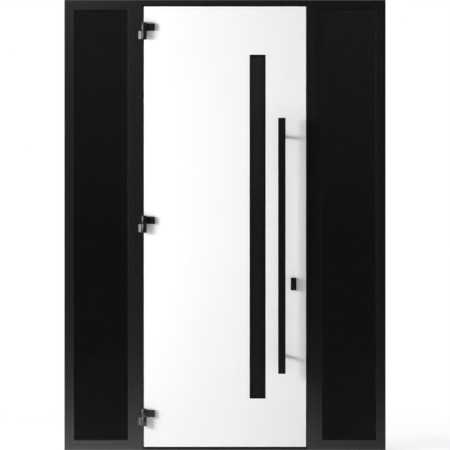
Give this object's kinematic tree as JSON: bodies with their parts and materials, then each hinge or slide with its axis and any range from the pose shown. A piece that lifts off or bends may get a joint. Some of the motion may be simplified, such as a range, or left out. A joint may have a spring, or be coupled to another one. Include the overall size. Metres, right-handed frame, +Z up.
{
  "type": "door with sidelights",
  "caption": "Outward-opening entrance door with an upright glass strip and long pull bars, set between fixed full-height glazed sidelights in slim black frames.",
  "frame": {"origin": "under the middle of the threshold, halfway through the frame's depth, at floor level", "axes": "+X to the right as seen from outside, from the hinges towards the lock; +Y from outside to inside; +Z up"},
  "size_m": [1.738, 0.216, 2.438],
  "materials": {
    "frame_black": "black powder coat, satin with a very fine texture",
    "fitting_black": "black satin coating on hinges, pull bars and roses",
    "leaf_white": "smooth white satin paint",
    "tinted_glass": "polished float glass, dark grey tint",
    "seal_rubber": "matt black rubber",
    "spacer_black": "matt black warm-edge spacer",
    "core_foam": "rigid foam, fine closed cells",
    "rim_composite": "laminated timber, painted over",
    "satin_steel": "satin stainless steel"
  },
  "bodies": {
    "frame": {"left_sidelight_outer_stile": "frame_black", "left_sidelight_inner_stile": "frame_black", "left_sidelight_top_rail": "frame_black", "left_sidelight_bottom_rail": "frame_black", "left_sidelight_beads": "frame_black", "left_sidelight_glass": "tinted_glass", "left_sidelight_spacer": "spacer_black", "left_sidelight_gaskets": "seal_rubber", "right_sidelight_outer_stile": "frame_black", "right_sidelight_inner_stile": "frame_black", "right_sidelight_top_rail": "frame_black", "right_sidelight_bottom_rail": "frame_black", "right_sidelight_beads": "frame_black", "right_sidelight_glass": "tinted_glass", "right_sidelight_spacer": "spacer_black", "right_sidelight_gaskets": "seal_rubber", "glass_setting_blocks": "seal_rubber", "hinge_jamb": "frame_black", "lock_jamb": "frame_black", "door_head": "frame_black", "threshold": "frame_black", "door_seal": "seal_rubber", "lock_keep": "satin_steel", "hinge_frame_knuckles": "fitting_black", "hinge_pins": "fitting_black"},
    "door_leaf": {"leaf_outer_skin": "leaf_white", "leaf_inner_skin": "leaf_white", "leaf_hinge_stile": "rim_composite", "leaf_lock_stile": "rim_composite", "leaf_top_rail": "rim_composite", "leaf_bottom_rail": "rim_composite", "leaf_core": "core_foam", "strip_glass": "tinted_glass", "strip_liner": "spacer_black", "outside_pull_bar": "fitting_black", "outside_bar_posts": "fitting_black", "inside_pull_bar": "fitting_black", "inside_bar_posts": "fitting_black", "outside_lock_rose": "fitting_black", "inside_lock_rose": "fitting_black", "lock_cylinder": "fitting_black", "lock_edge_plate": "satin_steel", "lock_bolts": "satin_steel", "hinge_leaf_knuckles": "fitting_black"}
  },
  "joints": [
    {"name": "door_hinge", "type": "hinge", "parent": "frame", "child": "door_leaf", "pos_m": [-0.4385, -0.051, 1.225], "axis": [0, 0, -1], "range_deg": [0, 110]}
  ]
}
